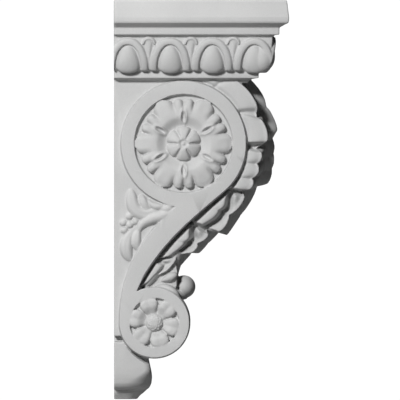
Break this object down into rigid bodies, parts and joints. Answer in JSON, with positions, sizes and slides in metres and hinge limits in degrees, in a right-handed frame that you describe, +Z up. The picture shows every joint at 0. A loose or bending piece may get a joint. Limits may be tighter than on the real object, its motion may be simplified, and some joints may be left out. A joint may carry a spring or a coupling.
{
  "type": "stone corbel",
  "caption": "Scrolled stone corbel that stands out from a wall and carries a shelf or beam on its top, with an acanthus leaf down the front.",
  "frame": {"origin": "on the flat back face that meets the wall, on the centre line across the width, at half the height", "axes": "+Z up, +Y into the wall and -Y out of it to the leafed front, +X across the width"},
  "size_m": [0.213, 0.245, 0.56],
  "materials": {
    "stone": "matte pale grey cast stone with a fine, even grain"
  },
  "bodies": {
    "root": {"corbel": "stone"}
  },
  "joints": []
}
